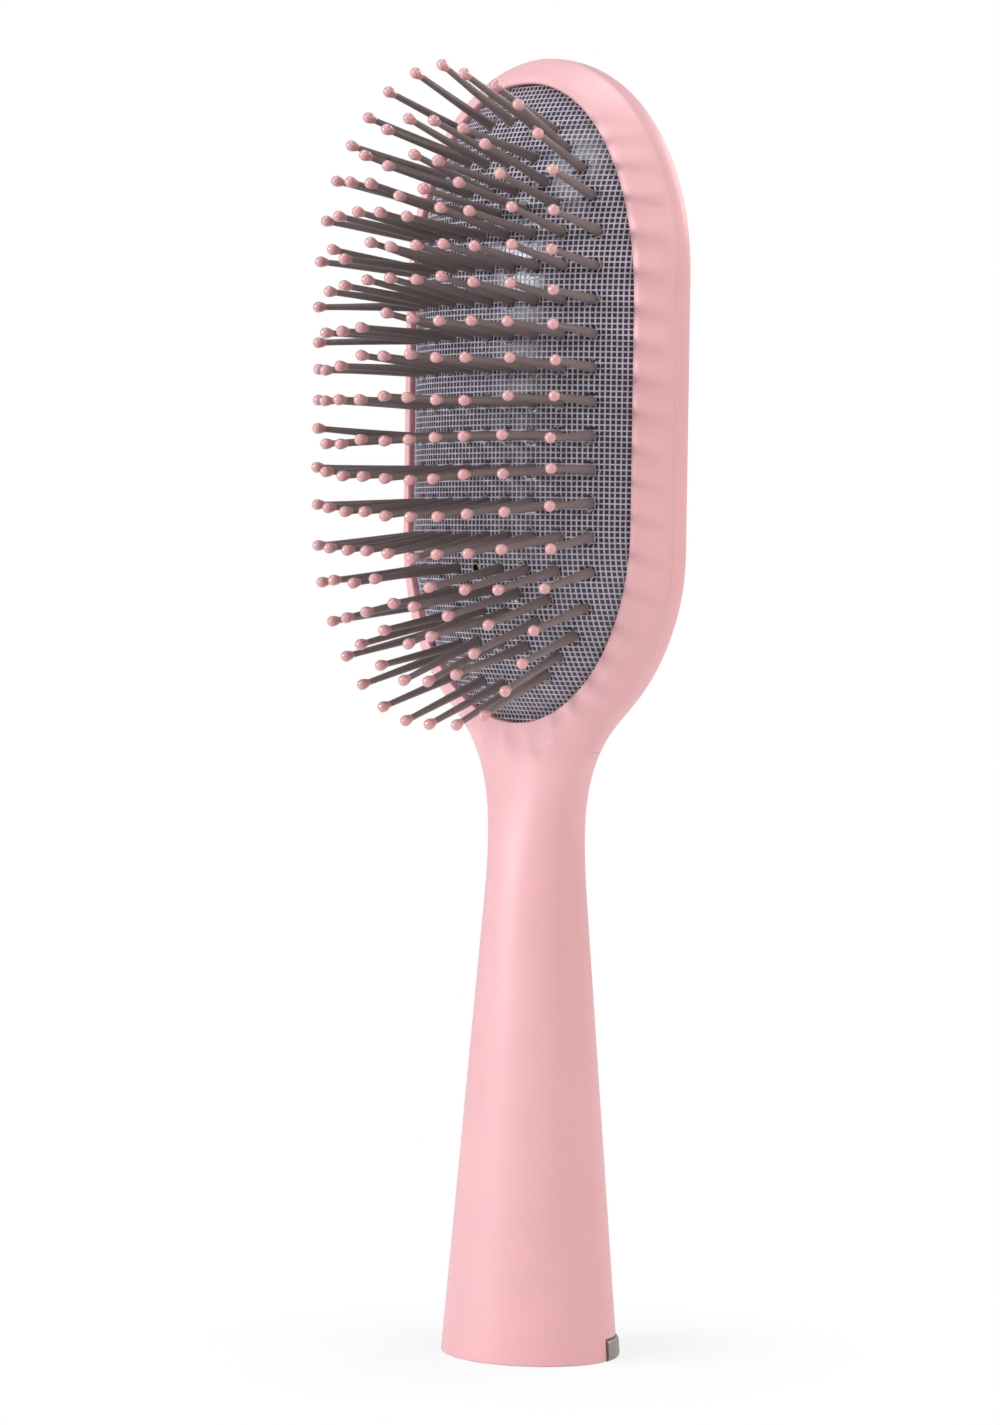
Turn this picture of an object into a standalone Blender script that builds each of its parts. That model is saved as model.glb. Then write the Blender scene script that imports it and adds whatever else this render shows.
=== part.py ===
"""Cushion hair brush with ball-tipped pins, standing on the flat foot of its handle.

Metres, +Z up along the brush, pins facing -Y, origin at the centre of the foot on the handle's axis.
"""

import math

import bmesh
import bpy
import numpy as np
from mathutils import Matrix

# Head outlines: straight sides with a rounded cap at each end, for the opening and for the widest line
HEAD_CENTRE_Z = 0.1725
OPENING_HALF_WIDTH = 0.0294
OPENING_TOP_STRAIGHT = 0.0170
OPENING_TOP_CAP = 0.0405
OPENING_TOP_POWER = 2.1
OPENING_BOTTOM_STRAIGHT = 0.0220
OPENING_BOTTOM_CAP = 0.0355
OPENING_BOTTOM_POWER = 2.0
HEAD_TOP_STRAIGHT = 0.0248
HEAD_TOP_CAP = 0.0376
HEAD_TOP_POWER = 1.97
HEAD_BOTTOM_STRAIGHT = 0.0294
HEAD_BOTTOM_CAP = 0.0348
HEAD_BOTTOM_POWER = 1.81
CAP_GROWTH_OUTSIDE = 1.85

# Head section, measured outward from the opening and forward or back of the handle's axis
LIP_FORWARD = 0.0062
LIP_LAND = 0.0010
SLOPE_WIDTH = 0.0044
SLOPE_HOLLOW = 0.18
WIDEST_FORWARD = 0.0009
BACK_DEPTH = 0.0101
BACK_ROUND = 0.0335
BACK_POWER = 2.9
LIP_DEPTH = 0.0028
POCKET_WIDTH = 0.0015
COVER_WALL = 0.0020

# Handle: an upright cone with an oval section that runs into the head
FOOT_HALF_WIDTH = 0.0170
FOOT_HALF_DEPTH = 0.01525
WIDTH_TAPER = 0.0843
DEPTH_TAPER = 0.0788
NECK_BLEND = 0.0149
BLEND_START_Z = 0.0847
BLEND_END_Z = 0.1271
HANDLE_WALL = 0.0020
HOLLOW_TOP_Z = 0.084
COVER_END_Z = 0.110

# Cushion: a thin crowned membrane, its rim trapped behind the lip
CROWN_HEIGHT = 0.0114
CUSHION_EDGE_FORWARD = 0.0046
CROWN_POWER = 2.5
CROWN_BOTTOM_FLAT = 0.0010
MEMBRANE = 0.0016
RIM_INSET = 0.0014
RIM_THICK = 0.0012
RING_THICK = 0.0026

# Pins
ROW_PITCH = 0.0060
PIN_FIELD_MARGIN = 0.0065
PINS_IN_FULL_ROW = 10
FULL_ROWS_EACH_SIDE = 4
PIN_LENGTH = 0.0200
PIN_ROOT_SUNK = 0.0009
PIN_ROOT_RADIUS = 0.00094
PIN_TOP_RADIUS = 0.00056
BALL_RADIUS = 0.00100
BALL_LENGTH = 0.0025
BALL_WIDEST_AT = 0.45
BALL_END_RADIUS = 0.0005
PIN_SIDES = 6
FAN_ACROSS = 0.340
FAN_ACROSS_CUBIC = 0.110
FAN_GROWS_UPWARD = 0.12
FAN_ALONG = 0.355
FAN_ALONG_CUBIC = 0.050
FAN_ALONG_SIDE_DROP = 0.31
FAN_ALONG_REACH = 0.052
VENT_RADIUS = 0.0008
VENT_ROW = -5
# Rows past the full ones, outward: pins, share of the full width, height at the middle and at the ends
SHORT_ROWS = (
    (9, 0.987, 0.0297, 0.0302),
    (8, 0.908, 0.0335, 0.0365),
    (7, 0.786, 0.0372, 0.0415),
    (6, 0.620, 0.0427, 0.0451),
    (5, 0.463, 0.0505, 0.0485),
)

# Foot plug with its pull lip, and the cleaning rake stored on it
PLUG_HEIGHT = 0.0070
PULL_LIP_HEIGHT = 0.0037
PULL_LIP_PROUD = 0.0005
PULL_LIP_ROUND = 0.0007
PULL_LIP_FRONT = 0.0042
STEM_WIDTH = 0.0070
STEM_DEPTH = 0.0032
STEM_SEAT = 0.0040
RAKE_Z = 0.0560
RAKE_WIDTH = 0.0150
RAKE_HEIGHT = 0.0045
TINE_COUNT = 5
TINE_PITCH = 0.0031
TINE_RADIUS = 0.0009
TINE_TIP_RADIUS = 0.0004
TINE_LENGTH = 0.0130

# Mesh fineness
SMOOTH_ANGLE = math.radians(35)
STATIONS = 18
HANDLE_LEVELS = 4
NECK_LEVELS = 14
SIDE_LEVELS = 4
CAP_STEPS = 9
COLUMNS_EACH_SIDE = 6
GAP = 0.0003
CUT_PAST = 0.004
TIP_INSET = 0.0001
LEVEL_MARGIN = 0.0018

HEAD_EDGE = LIP_LAND + SLOPE_WIDTH
HEAD_TOP_Z = HEAD_CENTRE_Z + HEAD_TOP_STRAIGHT + HEAD_TOP_CAP
POCKET_FRONT = -(LIP_FORWARD - LIP_DEPTH)
WIDEST_Y = -WIDEST_FORWARD
SEAM_Y = WIDEST_Y + GAP / 2
PIN_FIELD_HALF_WIDTH = OPENING_HALF_WIDTH - PIN_FIELD_MARGIN


def clear_scene():
    for old in list(bpy.data.objects):
        bpy.data.objects.remove(old, do_unlink=True)


def collection(name):
    made = bpy.data.collections.new(name)
    bpy.context.scene.collection.children.link(made)
    return made


def material(name, colour, roughness, metallic=0.0):
    made = bpy.data.materials.new(name)
    made.use_nodes = True
    shader = made.node_tree.nodes["Principled BSDF"]
    shader.inputs["Base Color"].default_value = (*colour, 1.0)
    shader.inputs["Roughness"].default_value = roughness
    shader.inputs["Metallic"].default_value = metallic
    return made


def add_mesh(name, points, faces, where, finish=None, smooth=True):
    """A mesh object from points and faces, its normals made to point out."""
    mesh = bpy.data.meshes.new(name)
    mesh.from_pydata([tuple(map(float, p)) for p in points], [], faces)
    work = bmesh.new()
    work.from_mesh(mesh)
    bmesh.ops.recalc_face_normals(work, faces=work.faces)
    work.to_mesh(mesh)
    work.free()
    obj = bpy.data.objects.new(name, mesh)
    where.objects.link(obj)
    if finish:
        mesh.materials.append(finish)
    if smooth:
        mesh.shade_smooth()
        mesh.set_sharp_from_angle(angle=SMOOTH_ANGLE)
    return obj


def loft(rings):
    """Points and faces of a closed loft through rings that each hold the same number of points."""
    count = len(rings[0])
    points = [p for ring in rings for p in ring]
    faces = [list(range(count))[::-1]]
    for r in range(len(rings) - 1):
        for i in range(count):
            j = (i + 1) % count
            faces.append([r * count + i, r * count + j, (r + 1) * count + j, (r + 1) * count + i])
    faces.append([(len(rings) - 1) * count + i for i in range(count)])
    return points, faces


def boolean(obj, tool, operation):
    """Applies one Boolean with the exact solver, so that the result is an ordinary mesh."""
    modifier = obj.modifiers.new(operation.title(), "BOOLEAN")
    modifier.operation = operation
    modifier.solver = "EXACT"
    modifier.object = tool
    bpy.context.view_layer.update()
    graph = bpy.context.evaluated_depsgraph_get()
    mesh = bpy.data.meshes.new_from_object(obj.evaluated_get(graph))
    obj.modifiers.remove(modifier)
    old = obj.data
    mesh.name = old.name
    obj.data = mesh
    bpy.data.meshes.remove(old)


def as_cutter(obj):
    obj.hide_render = True
    obj.display_type = "WIRE"
    return obj


def box(name, low, high, where):
    """A cuboid between two corners, from the cube primitive."""
    work = bmesh.new()
    bmesh.ops.create_cube(work, size=1.0)
    for vert in work.verts:
        for axis in range(3):
            vert.co[axis] = low[axis] + (vert.co[axis] + 0.5) * (high[axis] - low[axis])
    mesh = bpy.data.meshes.new(name)
    work.to_mesh(mesh)
    work.free()
    obj = bpy.data.objects.new(name, mesh)
    where.objects.link(obj)
    return obj


def finish_part(obj, finish):
    """Gives a part its material and smooth shading."""
    obj.data.materials.clear()
    obj.data.materials.append(finish)
    obj.data.shade_smooth()
    obj.data.set_sharp_from_angle(angle=SMOOTH_ANGLE)
    return obj


def outline_at(upward, offset):
    """Straight length, cap height and roundness of the outline moved outward by offset."""
    share = np.clip(offset / HEAD_EDGE, 0, 1)
    growth = np.minimum(offset, 0) + CAP_GROWTH_OUTSIDE * np.maximum(offset - HEAD_EDGE, 0)
    straight = np.where(
        upward,
        OPENING_TOP_STRAIGHT + share * (HEAD_TOP_STRAIGHT - OPENING_TOP_STRAIGHT),
        OPENING_BOTTOM_STRAIGHT + share * (HEAD_BOTTOM_STRAIGHT - OPENING_BOTTOM_STRAIGHT),
    )
    cap = growth + np.where(
        upward,
        OPENING_TOP_CAP + share * (HEAD_TOP_CAP - OPENING_TOP_CAP),
        OPENING_BOTTOM_CAP + share * (HEAD_BOTTOM_CAP - OPENING_BOTTOM_CAP),
    )
    power = np.where(
        upward,
        OPENING_TOP_POWER + share * (HEAD_TOP_POWER - OPENING_TOP_POWER),
        OPENING_BOTTOM_POWER + share * (HEAD_BOTTOM_POWER - OPENING_BOTTOM_POWER),
    )
    return straight, cap, power


def outline_end(upward, offset):
    """Z of the top or the bottom of the outline moved outward by offset."""
    straight, cap, _ = outline_at(upward, offset)
    return HEAD_CENTRE_Z + float(straight + cap) * (1 if upward else -1)


def outline_reach(x, z, cap_cut=0.0):
    """How far out a point of the cushion lies, from 0 on the spine to 1 at the opening's edge."""
    straight, cap, power = outline_at(z > HEAD_CENTRE_Z, 0.0)
    along = np.maximum(0.0, np.abs(z - HEAD_CENTRE_Z) - straight) / (cap - cap_cut)
    across = np.abs(x) / OPENING_HALF_WIDTH
    return (across**power + along**power) ** (1 / power)


def offset_at(x, z):
    """The outward offset of the opening's outline that passes through each point."""
    low = np.full(np.shape(x), GAP - OPENING_HALF_WIDTH)
    high = np.full(np.shape(x), HEAD_TOP_Z)
    for _ in range(48):
        middle = (low + high) / 2
        straight, cap, power = outline_at(z > HEAD_CENTRE_Z, middle)
        along = np.maximum(0.0, np.abs(z - HEAD_CENTRE_Z) - straight) / np.maximum(cap, GAP)
        size = (np.abs(x) / (OPENING_HALF_WIDTH + middle)) ** power + along**power
        outside = size > 1
        low = np.where(outside, middle, low)
        high = np.where(outside, high, middle)
    return (low + high) / 2


def body_offset(x, z):
    """The head's offset field joined smoothly with the handle's, so that the neck runs into the head."""
    head = offset_at(x, z)
    if z > HEAD_CENTRE_Z:
        return head
    neck = np.abs(x) - (FOOT_HALF_WIDTH - WIDTH_TAPER * z) + HEAD_EDGE
    mix = np.clip(0.5 + 0.5 * (neck - head) / NECK_BLEND, 0, 1)
    return neck * (1 - mix) + head * mix - NECK_BLEND * mix * (1 - mix)


def half_width(z, inset=0.0):
    """Half-width of the whole body at height z, less an inset."""
    low, high = 0.0, OPENING_HALF_WIDTH + HEAD_EDGE + NECK_BLEND
    for _ in range(40):
        middle = (low + high) / 2
        if float(body_offset(np.array(middle), z)) < HEAD_EDGE - inset:
            low = middle
        else:
            high = middle
    return low


def front_profile(offset):
    """Y of the head's front: flat inside the lip's land, then sloping back to the widest line."""
    down = np.clip((offset - LIP_LAND) / SLOPE_WIDTH, 0, 1)
    return -LIP_FORWARD + (LIP_FORWARD - WIDEST_FORWARD) * ((1 - SLOPE_HOLLOW) * down + SLOPE_HOLLOW * down**2)


def back_profile(offset):
    """Y of the head's back: a nearly flat face with well rounded edges."""
    inward = np.clip((HEAD_EDGE - offset) / BACK_ROUND, 0, 1)
    return WIDEST_Y + BACK_DEPTH * (1 - (1 - inward) ** BACK_POWER) ** (1 / BACK_POWER)


def head_share(z):
    """0 on the handle and 1 on the head, easing between the two."""
    t = min(1.0, max(0.0, (z - BLEND_START_Z) / (BLEND_END_Z - BLEND_START_Z)))
    return t * t * (3 - 2 * t)


def section(z, inset=0.0):
    """One level of the body: a closed ring, round the front from -X to +X and back."""
    wide = half_width(z, inset)
    share = head_share(z)
    deep = FOOT_HALF_DEPTH - DEPTH_TAPER * z
    angles = np.linspace(-math.pi / 2, math.pi / 2, STATIONS)
    across = np.sin(angles)
    offset = body_offset(np.abs(across) * (wide + inset), z)
    bulge = deep * np.sqrt(np.maximum(0.0, 1 - across**2))
    front = (1 - share) * -bulge + share * front_profile(offset)
    back = (1 - share) * bulge + share * back_profile(offset)
    middle = share * WIDEST_Y
    front = np.minimum(front + inset, middle)
    back = np.maximum(back - inset, middle)
    front[0] = front[-1] = back[0] = back[-1] = middle
    ring = [(wide * a, f, z) for a, f in zip(across, front)]
    ring += [(wide * a, b, z) for a, b in zip(across[-2:0:-1], back[-2:0:-1])]
    return ring


def body_levels(bottom, top):
    """Heights of the loft's levels, close together where the outline turns."""
    flank = HEAD_CENTRE_Z - HEAD_BOTTOM_STRAIGHT
    cap_start = HEAD_CENTRE_Z + HEAD_TOP_STRAIGHT
    handle = np.linspace(0.0, BLEND_START_Z, HANDLE_LEVELS)
    neck = np.linspace(BLEND_START_Z, flank, NECK_LEVELS)[1:]
    side = np.linspace(flank, cap_start, SIDE_LEVELS)[1:]
    cap = cap_start + HEAD_TOP_CAP * np.sin(np.linspace(0, math.pi / 2, CAP_STEPS + 2)[1:-1])
    levels = [z for z in (*handle, *neck, *side, *cap) if bottom + LEVEL_MARGIN < z < top - LEVEL_MARGIN]
    return [bottom] + levels + [top - TIP_INSET]


def body_solid(name, bottom, top, where):
    """The whole outer shape of the body between two heights."""
    points, faces = loft([section(z) for z in body_levels(bottom, top)])
    return add_mesh(name, points, faces, where, smooth=False)


def outline_points(offset):
    """The opening's outline moved outward by offset, as (x, z) points in order round the head."""
    ends = []
    for upward, side in ((True, 1), (False, -1)):
        straight, cap, power = (float(value) for value in outline_at(upward, offset))
        for i in range(CAP_STEPS * 2 + 1):
            angle = math.pi * i / (CAP_STEPS * 2)
            turn = math.cos(angle)
            across = (OPENING_HALF_WIDTH + offset) * math.copysign(abs(turn) ** (2 / power), turn)
            along = straight + cap * math.sin(angle) ** (2 / power)
            ends.append((side * across, HEAD_CENTRE_Z + side * along))
    return ends


def outline_prism(name, offset, front, back, where):
    """A straight prism of the head's outline between two Y planes."""
    outline = outline_points(offset)
    rings = [[(x, y, z) for x, z in outline] for y in (front, back)]
    points, faces = loft(rings)
    return add_mesh(name, points, faces, where, smooth=False)


def outline_ring(name, profile, where, finish):
    """A closed ring whose section is a list of (offset, y) points, swept round the head's outline."""
    rings = [[(x, y, z) for x, z in outline_points(offset)] for offset, y in profile]
    count = len(rings[0])
    points = [p for ring in rings for p in ring]
    faces = []
    for r in range(len(rings)):
        s = (r + 1) % len(rings)
        for i in range(count):
            j = (i + 1) % count
            faces.append([r * count + i, r * count + j, s * count + j, s * count + i])
    return add_mesh(name, points, faces, where, finish)


def handle_prism(name, levels, where):
    """The handle's own oval cone through levels of (z, growth), grown or shrunk all round at each."""
    turns = 2 * (STATIONS - 1)
    rings = []
    for z, grow in levels:
        wide = FOOT_HALF_WIDTH - WIDTH_TAPER * z + grow
        deep = FOOT_HALF_DEPTH - DEPTH_TAPER * z + grow
        angles = [2 * math.pi * i / turns for i in range(turns)]
        rings.append([(wide * math.cos(a), deep * math.sin(a), z) for a in angles])
    points, faces = loft(rings)
    return add_mesh(name, points, faces, where, smooth=False)


def build_frame(parts, cutters, finish):
    """Head ring, neck and hollow handle in one moulding."""
    frame = body_solid("handle_frame", 0.0, HEAD_TOP_Z, parts)
    cuts = [
        outline_prism("opening_cut", 0.0, -LIP_FORWARD - CUT_PAST, POCKET_FRONT + CUT_PAST / 4, cutters),
        outline_prism("pocket_cut", POCKET_WIDTH, POCKET_FRONT, BACK_DEPTH + CUT_PAST, cutters),
        box(
            "back_cut",
            (-FOOT_HALF_WIDTH * 3, SEAM_Y, COVER_END_Z),
            (FOOT_HALF_WIDTH * 3, BACK_DEPTH + CUT_PAST, HEAD_TOP_Z + CUT_PAST),
            cutters,
        ),
        handle_prism("hollow_cut", [(-CUT_PAST, -HANDLE_WALL), (HOLLOW_TOP_Z, -HANDLE_WALL)], cutters),
        box(
            "pull_lip_notch",
            (-FOOT_HALF_WIDTH - CUT_PAST, PULL_LIP_FRONT - GAP, -CUT_PAST),
            (FOOT_HALF_WIDTH + CUT_PAST, FOOT_HALF_DEPTH + CUT_PAST, PULL_LIP_HEIGHT + GAP),
            cutters,
        ),
    ]
    for cut in cuts:
        boolean(frame, as_cutter(cut), "DIFFERENCE")
    return finish_part(frame, finish)


def cover_hollow(where):
    """Cutter that leaves the cover's wall: the back of the inset body, carried forward past the seam."""
    rings = []
    for z in body_levels(outline_end(False, POCKET_WIDTH), HEAD_TOP_Z - COVER_WALL):
        ring = section(z, COVER_WALL)
        front = [(x, WIDEST_Y - CUT_PAST, z) for x, _, _ in ring[:STATIONS]]
        back = [(x, max(y, WIDEST_Y + CUT_PAST / 2), z) for x, y, _ in ring[STATIONS:]]
        rings.append(front + back)
    points, faces = loft(rings)
    return as_cutter(add_mesh("cover_hollow", points, faces, where, smooth=False))


def build_cover(parts, cutters, finish):
    """Back shell of the head, closed round its edge and open to the cushion's air space."""
    cover = body_solid("back_cover", COVER_END_Z - CUT_PAST, HEAD_TOP_Z, parts)
    keep = as_cutter(
        box(
            "cover_keep",
            (-FOOT_HALF_WIDTH * 3, SEAM_Y + GAP, COVER_END_Z + GAP),
            (FOOT_HALF_WIDTH * 3, BACK_DEPTH + CUT_PAST, HEAD_TOP_Z + CUT_PAST),
            cutters,
        )
    )
    boolean(cover, keep, "INTERSECT")
    boolean(cover, cover_hollow(cutters), "DIFFERENCE")
    return finish_part(cover, finish)


def cushion_front(x, z):
    """Y of the cushion's outer face."""
    cap_cut = np.where(z > HEAD_CENTRE_Z, 0.0, CROWN_BOTTOM_FLAT)
    reach = np.minimum(1.0, outline_reach(x, z, cap_cut))
    return -CUSHION_EDGE_FORWARD - CROWN_HEIGHT * (1 - reach**CROWN_POWER)


def build_cushion_rim(parts, finish):
    """The membrane's fixed edge: a flange in the pocket with a short lip up to the crown."""
    inner = -RIM_INSET + GAP
    flange_front = POCKET_FRONT + GAP
    flange_back = flange_front + RIM_THICK
    z_side = HEAD_CENTRE_Z
    face = float(cushion_front(np.array(OPENING_HALF_WIDTH + inner), z_side))
    profile = [
        (POCKET_WIDTH - GAP, flange_front),
        (-GAP, flange_front),
        (-GAP, -CUSHION_EDGE_FORWARD),
        (inner, face),
        (inner, flange_back),
        (POCKET_WIDTH - GAP, flange_back),
    ]
    return outline_ring("cushion_rim", profile, parts, finish)


def build_retaining_ring(parts, finish):
    """Flat ring that clamps the cushion's flange into the pocket."""
    front = POCKET_FRONT + RIM_THICK + 2 * GAP
    inner = -RIM_INSET + GAP
    outer = POCKET_WIDTH - GAP
    profile = [(outer, front), (inner, front), (inner, front + RING_THICK), (outer, front + RING_THICK)]
    return outline_ring("retaining_ring", profile, parts, finish)


def row_count():
    return 2 * (FULL_ROWS_EACH_SIDE + len(SHORT_ROWS)) + 1


def row_plan(step):
    """Pins, half-width, and height above the head centre at the middle and ends, for a row by its step."""
    if abs(step) <= FULL_ROWS_EACH_SIDE:
        rise = abs(step) * ROW_PITCH
        return PINS_IN_FULL_ROW, PIN_FIELD_HALF_WIDTH, rise, rise
    count, share, middle, ends = SHORT_ROWS[abs(step) - FULL_ROWS_EACH_SIDE - 1]
    return count, share * PIN_FIELD_HALF_WIDTH, middle, ends


def row_height(step, x):
    """Height of a row's line at x, bowed where the row is a short one."""
    _, wide, middle, ends = row_plan(step)
    rise = middle + (ends - middle) * (x / wide) ** 2
    return HEAD_CENTRE_Z + math.copysign(1.0, step) * rise if step else HEAD_CENTRE_Z


def border_height(step, x):
    """Height of the line between a row and the next one above it, or of the field's end."""
    last = FULL_ROWS_EACH_SIDE + len(SHORT_ROWS)
    if step >= last:
        return outline_end(True, CUT_PAST)
    if step < -last:
        return outline_end(False, CUT_PAST)
    narrow = max(step, -step - 1)
    at = min(abs(x), row_plan(narrow)[1] if narrow else abs(x))
    next_at = min(abs(x), row_plan(step + 1 if step >= 0 else step)[1])
    return (row_height(step, min(at, next_at)) + row_height(step + 1, min(at, next_at))) / 2


def pin_roots(step):
    """The (x, z) of each pin of a row; the vent hole takes the place of its row's middle pin."""
    count, wide, _, _ = row_plan(step)
    across = [wide * (2 * i / (count - 1) - 1) for i in range(count)]
    if step == VENT_ROW:
        across.pop(count // 2)
    return [(x, row_height(step, x)) for x in across]


def pin_direction(x, z):
    """Unit vector along a pin: the field fans out towards its edges."""
    u = x / PIN_FIELD_HALF_WIDTH
    rise = (z - HEAD_CENTRE_Z) / FAN_ALONG_REACH
    sideways = (FAN_ACROSS * u + FAN_ACROSS_CUBIC * u**3) * (1 + FAN_GROWS_UPWARD * rise)
    upward = (FAN_ALONG * rise + FAN_ALONG_CUBIC * rise**3) * (1 - FAN_ALONG_SIDE_DROP * u**2)
    way = np.array([math.tan(sideways), -1.0, math.tan(upward)])
    return way / np.linalg.norm(way)


def pin_mesh(x, z):
    """Rings of one tapered pin with its ball end, its root sunk into the membrane."""
    way = pin_direction(x, z)
    face = np.array([x, float(cushion_front(np.array(x), z)), z])
    side = np.cross(way, (0.0, 0.0, 1.0))
    side /= np.linalg.norm(side)
    up = np.cross(side, way)
    ball = PIN_LENGTH - BALL_LENGTH
    stations = (
        (-PIN_ROOT_SUNK, PIN_ROOT_RADIUS),
        (ball, PIN_TOP_RADIUS),
        (ball + BALL_LENGTH * BALL_WIDEST_AT, BALL_RADIUS),
        (PIN_LENGTH, BALL_END_RADIUS),
    )
    rings = []
    for along, radius in stations:
        centre = face + way * along
        ring = []
        for i in range(PIN_SIDES):
            angle = 2 * math.pi * i / PIN_SIDES
            ring.append(centre + radius * (math.cos(angle) * side + math.sin(angle) * up))
        rings.append(ring)
    return rings


def field_end(x, upward, inset):
    """Height of the cushion's edge at x, at the top or the bottom of the head."""
    straight, cap, power = (float(value) for value in outline_at(upward, -inset))
    across = min(1.0, abs(x) / (OPENING_HALF_WIDTH - inset))
    rise = straight + cap * (1 - across**power) ** (1 / power)
    return HEAD_CENTRE_Z + (rise if upward else -rise)


def slice_span(step, x):
    """Lowest and highest z of a row's slice at x, inside the fixed rim."""
    low = max(border_height(step - 1, x) + GAP / 2, field_end(x, False, RIM_INSET))
    high = min(border_height(step, x) - GAP / 2, field_end(x, True, RIM_INSET))
    return low, high


def widest_x(test):
    """The largest x on the slice's side for which a test still holds."""
    low, high = 0.0, OPENING_HALF_WIDTH - RIM_INSET
    if test(high - GAP / 10):
        return high - GAP / 10
    for _ in range(40):
        middle = (low + high) / 2
        low, high = (middle, high) if test(middle) else (low, middle)
    return low


def slice_columns(step):
    """X of a slice's columns: even across its straight borders, closer where it meets the rim."""

    def height(x):
        low, high = slice_span(step, x)
        return high - low

    def inside(x):
        outer = border_height(step, x) if step >= 0 else border_height(step - 1, x)
        end = field_end(x, step >= 0, RIM_INSET)
        return outer < end if step >= 0 else outer > end

    end = widest_x(lambda x: height(x) > GAP)
    bend = min(end, widest_x(inside)) if inside(0.0) else 0.0
    half = [bend * i / COLUMNS_EACH_SIDE for i in range(1, COLUMNS_EACH_SIDE + 1)] if bend else []
    if end - bend > GAP:
        steps = 3 if bend else 2 * COLUMNS_EACH_SIDE
        half += [bend + (end - bend) * math.sin(math.pi / 2 * i / steps) for i in range(1, steps + 1)]
    return [-x for x in reversed(half)] + [0.0] + half


def build_row(step, number, parts, cutters, finish):
    """One slice of the crowned membrane with its row of pins."""
    rings = []
    for x in slice_columns(step):
        low, high = slice_span(step, x)
        heights = [low, (low + high) / 2, high]
        outer = [(x, float(cushion_front(np.array(x), z)), z) for z in heights]
        rings.append(outer + [(x, y + MEMBRANE, z) for x, y, z in reversed(outer)])
    points, faces = loft(rings)
    row = add_mesh(f"pin_row_{number:02d}", points, faces, parts, smooth=False)
    if step == VENT_ROW:
        boolean(row, as_cutter(vent_cutter(step, cutters)), "DIFFERENCE")
    pins_points, pins_faces = [], []
    for x, z in pin_roots(step):
        points, faces = loft(pin_mesh(x, z))
        start = len(pins_points)
        pins_points += points
        pins_faces += [[start + i for i in face] for face in faces]
    pins = add_mesh(f"pins_of_row_{number:02d}", pins_points, pins_faces, cutters, smooth=False)
    boolean(row, as_cutter(pins), "UNION")
    return finish_part(row, finish)


def vent_cutter(step, where):
    """A round cutter for the air vent through the membrane."""
    z = row_height(step, 0.0)
    face = float(cushion_front(np.array(0.0), z))
    work = bmesh.new()
    bmesh.ops.create_cone(
        work,
        cap_ends=True,
        segments=8,
        radius1=VENT_RADIUS,
        radius2=VENT_RADIUS,
        depth=MEMBRANE * 4,
    )
    bmesh.ops.rotate(work, verts=work.verts, matrix=Matrix.Rotation(math.pi / 2, 3, "X"))
    bmesh.ops.translate(work, verts=work.verts, vec=(0.0, face, z))
    mesh = bpy.data.meshes.new("vent_cut")
    work.to_mesh(mesh)
    work.free()
    obj = bpy.data.objects.new("vent_cut", mesh)
    where.objects.link(obj)
    return obj


def build_plug(parts, cutters, finish):
    """Foot plug that closes the handle, with the pull lip that shows in the rim's notch."""
    inner = -HANDLE_WALL - GAP
    plug = handle_prism("base_plug", [(0.0, inner), (PLUG_HEIGHT, inner)], parts)
    rounded = PULL_LIP_PROUD - PULL_LIP_ROUND
    lip_levels = [
        (0.0, rounded),
        (PULL_LIP_ROUND, PULL_LIP_PROUD),
        (PULL_LIP_HEIGHT - 2 * PULL_LIP_ROUND, PULL_LIP_PROUD),
        (PULL_LIP_HEIGHT, rounded),
    ]
    lip = handle_prism("pull_lip", lip_levels, cutters)
    keep = box(
        "pull_lip_keep",
        (-FOOT_HALF_WIDTH - CUT_PAST, PULL_LIP_FRONT, -CUT_PAST),
        (FOOT_HALF_WIDTH + CUT_PAST, FOOT_HALF_DEPTH + CUT_PAST, PULL_LIP_HEIGHT + CUT_PAST),
        cutters,
    )
    boolean(lip, as_cutter(keep), "INTERSECT")
    boolean(plug, as_cutter(lip), "UNION")
    seat = box(
        "stem_seat",
        (-STEM_WIDTH / 2 - GAP, -STEM_DEPTH / 2 - GAP, PLUG_HEIGHT - STEM_SEAT),
        (STEM_WIDTH / 2 + GAP, STEM_DEPTH / 2 + GAP, PLUG_HEIGHT + CUT_PAST),
        cutters,
    )
    boolean(plug, as_cutter(seat), "DIFFERENCE")
    return finish_part(plug, finish)


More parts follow.
